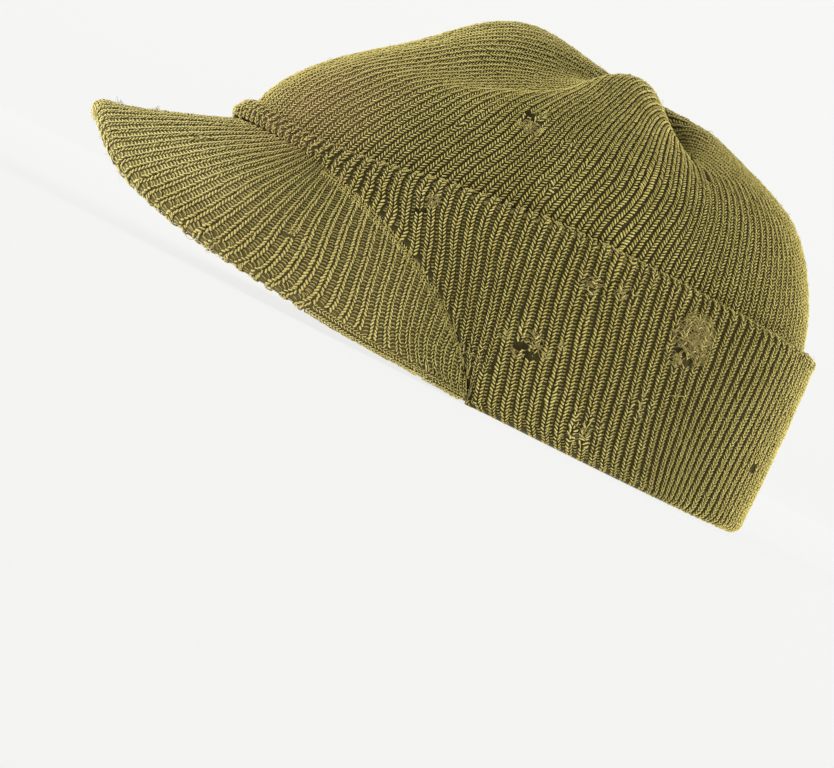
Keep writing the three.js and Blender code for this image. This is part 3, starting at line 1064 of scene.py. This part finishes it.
visorStitch = {
    **cuffStitch,
    "stations": [0, 0.3, 0.74, 1],
    "reach": 1.5,
    "foot": 0.06,
    "tip": 0.26,
    "halfWidth": 0.08,
    "crest": 0.32,
    "base": -0.2,
    "lift": 0.45,
    "roundness": 0.4,
    "fade": 0.1,
    "barReach": 0.29,
    "barSag": 0.5,
    "barBase": -0.6,
    "barLift": 0.3,
    "barHalfWidth": 0.3,
    "barShade": 0.5,
}
sets = [*stitchLegs(visorPlaces, visorStitch), purlBars(visorPlaces, visorStitch)]

# Rows of stitches that run along the visor's rear edges, as its hem, and along its seam at the sides
rowStitch = {**crownStitch, "fade": 0.2, "halfWidth": 0.11, "lift": 0.6}
visorRows = table(
    "from to share step rows",
    (64.5, 77.3, 0.452, 0.032, 4),
    (38.0, 76.5, 0.008, 0.022, 2),
)
rowShare = np.linspace(0, 1, 160)[None]
for side in (-1, 1):
    for band in visorRows:
        lines = ribLines(
            lambda row, share: visorSide(
                side * mix(band["from"], band["to"], share), band["share"] + band["step"] * row
            ),
            np.arange(float(band["rows"]))[:, None],
            rowShare,
            facing=side,
        )
        sets.extend(stitchLegs(stitchPlaces(lines, rowShare), rowStitch))
pieces.append((strandPiece("visorStitches", sets, visorWool), "visor_knit"))


def visorSkin():
    rib = np.arange(4 * visor["ribCount"] + 1) / 4
    furrow = furrowAt(rib, 0.4, 0.85)
    shares = [np.linspace(0, 0.44, 18), np.linspace(0.46, 0.54, 5), np.linspace(0.56, 1, 14)]
    rows = []
    for share in np.concatenate(shares):
        normal = normals(visorRib, rib, share, facing=-1)
        atEdge = 1 - smooth(0.04, 0.12, abs(share - 0.5))
        depth = visor["skinDepth"] + visor["furrowDepth"] * furrow
        depth = depth * smooth(0, 0.05, share) * (1 - 0.65 * atEdge)
        rows.append((visorRib(rib, share) - normal * column(depth), share * visor["courses"]))
    return skinPiece("visorKnit", rib, rows, shadedVisorBacking, ring=False)


visorKnit = visorSkin()
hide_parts("visor")
pieces.append((visorKnit, "visor_knit"))
print("visor knitted")


# Loose yarn: darning, tufts, fuzz and single fibres

darns = table(
    "at long wide turn yarns",
    ((81.3, 33.8, 47.6), 9.5, 8.5, -12, 230),
    ((86.4, -13.5, 25.6), 6.5, 2.4, -10, 26),
    ((86.2, -16, 20.4), 4, 1.4, -25, 14),
    ((84.9, -4, 48.5), 4.2, 3.2, 20, 30),
    ((84.2, 7.2, 50.8), 3.2, 2.8, 60, 22),
    ((73.2, -57.4, 49.3), 3.6, 2, 75, 26),
    ((65, -36.2, 82), 4.4, 2.6, -15, 24),
    ((75, -84.9, 21.3), 3.4, 0.9, -8, 7),
)
tufts = table(
    "at reach hairs",
    ((-8, -137, 34.5), 0.9, 16),
    ((-5, -126.5, 39), 0.9, 16),
    ((-5, -122.6, 40.3), 0.8, 12),
    ((60.9, -33.8, 87.4), 1.3, 40),
    ((65.4, -36.3, 82.4), 1.2, 30),
    ((66.8, -33.2, 82), 1.0, 24),
    ((64.4, -39.4, 81.6), 1.0, 24),
    ((86, -20.2, 24), 1.3, 30),
    ((86.7, -9.2, 24), 1.3, 36),
    ((87, -3.5, 29), 1.1, 26),
    ((82.9, 31.5, 40.3), 1.6, 50),
    ((81, 38.5, 46.3), 2, 50),
    ((82.6, 30.2, 54), 1.6, 40),
    ((73.4, -87.3, 23.8), 1.0, 24),
    ((65.4, -109.6, 8.6), 1.6, 36),
    ((83.6, -33, 3), 1.6, 40),
    ((82.3, -45, 4.5), 1.6, 36),
    ((86.6, 14, 8.6), 2, 40),
)
fibres = table(
    "from over to",
    ((64.4, -109.4, 8.2), (66.4, -108.6, 4), (65.8, -111.4, 5.6)),
    ((61, -112, 9), (63, -113, 5.4), (60, -114.4, 7.4)),
    ((22, 30.4, 109.4), (24.5, 31, 114), (21.6, 33.4, 109)),
    ((20.6, 31.8, 109.6), (20, 30, 113.4), (24, 34.6, 108.4)),
    ((84.3, 36, 30), (88, 40, 33), (82.6, 43, 31.4)),
)


allPlaces = {
    key: np.concatenate([places[key] for places in (crownPlaces, cuffPlaces, visorPlaces)])
    for key in ("point", "normal")
}


# The stitch nearest to a place, with the directions sideways, upwards and outwards there.
def onKnit(at):
    nearest = np.argmin(np.linalg.norm(allPlaces["point"] - np.array(at), axis=-1))
    outwards = allPlaces["normal"][nearest]
    sideways = unit(np.cross([0, 0, 1.0], outwards))
    return allPlaces["point"][nearest], sideways, np.cross(outwards, sideways), outwards


# Darning yarn is darker and browner than the wool, and paintedShade darkens its crests as painted shade
# between its yarns.
darnYarn = {"crossing": 80, "turnSpread": 16, "thick": 0.1, "tone": -1.0, "brown": 0.4, "paintedShade": 0.5}
tuftHair = {"step": 0.6, "thick": 0.08, "tone": 0.4}
fuzzHair = {"shortest": 0.8, "longest": 2.4, "moreIfRubbed": 5, "thick": 0.045, "tone": 0.6}
fibreYarn = {"thick": 0.1, "tone": 0.6}


# Darning: fine curved yarns over a worn place, most of them in one direction, none over a hole.
def darnYarns(darn):
    centre, sideways, upwards, outwards = onKnit(darn["at"])
    count = darn["yarns"]
    crossing = np.arange(count) % 4 == 0
    turn = darn["turn"] + darnYarn["crossing"] * crossing + dice.normal(0, darnYarn["turnSpread"], count)
    turn = column(np.radians(turn))
    long = np.where(crossing, darn["wide"], darn["long"])
    wide = np.where(crossing, darn["long"], darn["wide"])
    across = dice.uniform(-0.97, 0.97, count)
    half = long * np.sqrt(1 - across**2) * dice.uniform(0.25, 0.7, count)
    middle = dice.uniform(-1, 1, count) * (long * np.sqrt(1 - across**2) - half)
    stations = np.linspace(-1, 1, 6)[None]
    ahead = column(middle) + column(half) * stations
    bow = column(0.12 * half * dice.normal(0, 1, count)) * (1 - stations**2)
    beside = column(across * wide) + bow + 0.1 * dice.normal(0, 1, (count, 6))
    right = ahead * np.cos(turn) - beside * np.sin(turn)
    up = ahead * np.sin(turn) + beside * np.cos(turn)
    height = column(dice.uniform(0.1, 0.8, count)) - 0.5 * stations**4 - right**2 / 170
    path = centre + column(right) * sideways + column(up) * upwards + column(height) * outwards
    path = path[fromHole(path).min(1) > 0.9]
    return looseStrands(path, outwards, darnYarn)


# A curled tuft of hairs.
def tuftHairs(tuft):
    count = tuft["hairs"]
    middle, _, _, outwards = onKnit(tuft["at"])
    root = middle + tuft["reach"] * 0.55 * dice.normal(0, 1, (count, 3)) * (1 - 0.6 * np.abs(outwards))
    step = tuftHair["step"] * unit(dice.normal(0, 1, (count, 3)) + 0.2 * outwards)
    turn = 0.5 * dice.normal(0, 1, (count, 3))
    path = [root]
    for _ in range(4):
        path.append(path[-1] + step)
        step = step + 0.4 * turn - 0.2 * (path[-1] - middle) / tuft["reach"]
        step = tuftHair["step"] * unit(step)
    return looseStrands(np.stack(path, 1), outwards, tuftHair)


# Strands of one thickness and a mean tone, with any brown and painted shade of their own.
def looseStrands(path, outwards, look):
    count, stations = path.shape[:2]
    stain = np.maximum(wornAt(stains, path[:, stations // 2]), look.get("brown", 0))
    tone = np.clip(look["tone"] + 0.8 * dice.normal(0, 1, count), -1.4, 1)
    tint = np.stack(np.broadcast_arrays(tone, stain, 0.3, look.get("paintedShade", 0.0)), -1)
    return strands(path, np.broadcast_to(outwards, (count, 3)), look["thick"], look["thick"], tint)


# Short curved hairs that stand off the stitches all over, more of them where the knit is rubbed.
def fuzz(places, count):
    chance = (1 + fuzzHair["moreIfRubbed"] * places["rubbed"]) * (places["point"][:, 2] > 1.5)
    pick = dice.choice(len(chance), count, p=chance / chance.sum())
    normal = places["normal"][pick]
    root = places["point"][pick] + dice.normal(0, 0.8, (count, 3)) * (1 - np.abs(normal))
    lying = unit(np.cross(normal, dice.normal(0, 1, (count, 3))))
    turned = np.cross(normal, lying)
    length = dice.uniform(fuzzHair["shortest"], fuzzHair["longest"], (count, 1))
    rise = dice.uniform(0.1, 0.9, (count, 1))
    curl = dice.normal(0, 0.5, (count, 1))
    path = [
        root + length * (s * lying + rise * s * (1 - 0.45 * s) * normal + curl * s * s * turned)
        for s in np.linspace(0, 1, 4)
    ]
    return looseStrands(np.stack(path, 1), normal, fuzzHair)


def fibreStrand(fibre):
    start, end = onKnit(fibre["from"])[0], onKnit(fibre["to"])[0]
    over = np.array(fibre["over"], float)
    s = column(np.linspace(0, 1, 9))
    path = (1 - s) ** 2 * start + 2 * s * (1 - s) * over + s * s * end
    return looseStrands(path[None], unit(start * [1, 1, 0.4]), fibreYarn)


fluff = [darnYarns(darn) for darn in darns] + [tuftHairs(tuft) for tuft in tufts]
fluff += [fibreStrand(fibre) for fibre in fibres]
pieces.append((strandPiece("looseYarn", fluff, cuffWool), "cuff_knit"))
for name, places, count, material, slotName in (
    ("crownFuzz", crownPlaces, 1900, crownWool, "crown_knit"),
    ("cuffFuzz", cuffPlaces, 1500, cuffWool, "cuff_knit"),
    ("visorFuzz", visorPlaces, 1800, visorWool, "visor_knit"),
):
    pieces.append((strandPiece(name, [fuzz(places, count)], material), slotName))
print("wear added")


for piece, slotName in pieces:
    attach(piece, "root")


# Camera at the photo's angle, rolled as the cap is tilted there

camera = {
    "azimuth": 72,
    "elevation": 1.5,
    "roll": 27,
    "distance": 900,
    "pixel": 0.325,
    "imageWidth": 834,
    "sensor": 36,
    "anchorHeight": 30,
    "anchorRight": 24.2,
    "anchorUp": 25.0,
}


def makeCamera():
    azimuth, elevation, roll = (math.radians(camera[k]) for k in ("azimuth", "elevation", "roll"))
    back = Vector((
        math.sin(azimuth) * math.cos(elevation),
        -math.cos(azimuth) * math.cos(elevation),
        math.sin(elevation),
    ))
    level = Vector((math.cos(azimuth), math.sin(azimuth), 0))
    upright = back.cross(level)
    right = level * math.cos(roll) + upright * math.sin(roll)
    up = upright * math.cos(roll) - level * math.sin(roll)
    anchor = Vector(headMiddle) + Vector((0, 0, camera["anchorHeight"]))
    target = anchor - right * camera["anchorRight"] - up * camera["anchorUp"]
    data = bpy.data.cameras.new("camera")
    data.sensor_width = camera["sensor"]
    seenWidth = camera["imageWidth"] * camera["pixel"]
    data.lens = camera["sensor"] * camera["distance"] / seenWidth
    data.clip_start = 0.02
    data.clip_end = 30
    holder = bpy.data.objects.new("camera", data)
    place = (target + back * camera["distance"]) / metre
    holder.matrix_world = Matrix.Translation(place) @ Matrix((right, up, back)).transposed().to_4x4()
    bpy.context.scene.collection.objects.link(holder)
    bpy.context.scene.camera = holder
    return right, up, back


cameraRight, cameraUp, cameraBack = makeCamera()


# Stage: a round pale floor that curves up into a wall far off, and soft lights

stage = {
    "floorRadius": 2.6,
    "bend": 0.8,
    "wallTop": 1.3,
    "colour": (0.1, 0.1, 0.0985),
    "glowFar": 0.8,
    "glowNear": 0.82,
    "light": (1, 1, 0.99, 1),
    "surround": 0.22,
    "columns": 96,
}


# A profile of floor, quarter round and wall, turned about the upright axis.
def makeStage():
    turns = np.radians(np.linspace(-90, 0, 17))
    flat = np.linspace(0.02, stage["floorRadius"], 14)
    wall = stage["floorRadius"] + stage["bend"]
    radius = np.concatenate([flat, stage["floorRadius"] + stage["bend"] * np.cos(turns), [wall]])
    height = np.concatenate([flat * 0, stage["bend"] * (1 + np.sin(turns)), [stage["wallTop"]]])
    radius, height = column(radius), column(height)
    around = np.radians(np.arange(stage["columns"]) * 360 / stage["columns"])
    rings = np.broadcast_arrays(radius * np.cos(around), radius * np.sin(around), height)
    points = np.stack(rings, -1).reshape(-1, 3)
    index = np.arange(len(points)).reshape(len(radius), -1)
    beside = np.roll(index, -1, 1)
    quads = np.stack([index[:-1], index[1:], beside[1:], beside[:-1]], -1).reshape(-1, 4)
    mesh = bpy.data.meshes.new("floor")
    mesh.from_pydata(points.tolist(), [], quads.tolist() + [index[0].tolist()])
    mesh.polygons.foreach_set("use_smooth", [True] * len(mesh.polygons))
    material = Nodes("stagePaper")
    material.shader.inputs["Base Color"].default_value = rgba(stage["colour"])
    material.shader.inputs["Roughness"].default_value = 0.9
    material.shader.inputs["Specular IOR Level"].default_value = 0.1
    far = -cameraBack / wall
    place = material.add("TexCoord").outputs["Object"]
    away = material.add("VectorMath", {0: place, 1: far}, operation="DOT_PRODUCT").outputs["Value"]
    glow = material.range(away, -0.6, 1, stage["glowNear"], stage["glowFar"])
    material.put(glow, material.shader.inputs["Emission Strength"])
    material.shader.inputs["Emission Color"].default_value = stage["light"]
    mesh.materials.append(material.material)
    floor = bpy.data.objects.new("floor", mesh)
    bpy.context.scene.collection.objects.link(floor)
    floor.visible_shadow = False  # soft light also comes from below its level


makeStage()

# Directions of the lights along the camera's own axes. back is towards the camera.
lights = table(
    "name right up back spread strength",
    ("key", -0.82, 0.5, 0.3, 50, 3.5),
    ("rim", 0.92, -0.25, 0.1, 60, 3.5),
    ("low", 0.4, -0.5, 0.7, 60, 1.4),
)


def makeLights():
    for light in lights:
        towards = cameraRight * light["right"] + cameraUp * light["up"] + cameraBack * light["back"]
        data = bpy.data.lights.new(light["name"], "SUN")
        data.angle = math.radians(light["spread"])
        data.energy = light["strength"]
        lamp = bpy.data.objects.new(light["name"], data)
        lamp.rotation_mode = "QUATERNION"
        lamp.rotation_quaternion = towards.to_track_quat("Z", "Y")
        bpy.context.scene.collection.objects.link(lamp)
    world = bpy.data.worlds.new("studio")
    world.use_nodes = True
    background = world.node_tree.nodes["Background"]
    background.inputs["Color"].default_value = stage["light"]
    background.inputs["Strength"].default_value = stage["surround"]
    bpy.context.scene.world = world
    bpy.context.scene.view_settings.view_transform = "Standard"


makeLights()
print("stage lit")


def corners(box):
    return [list(box[0]), list(box[1])]
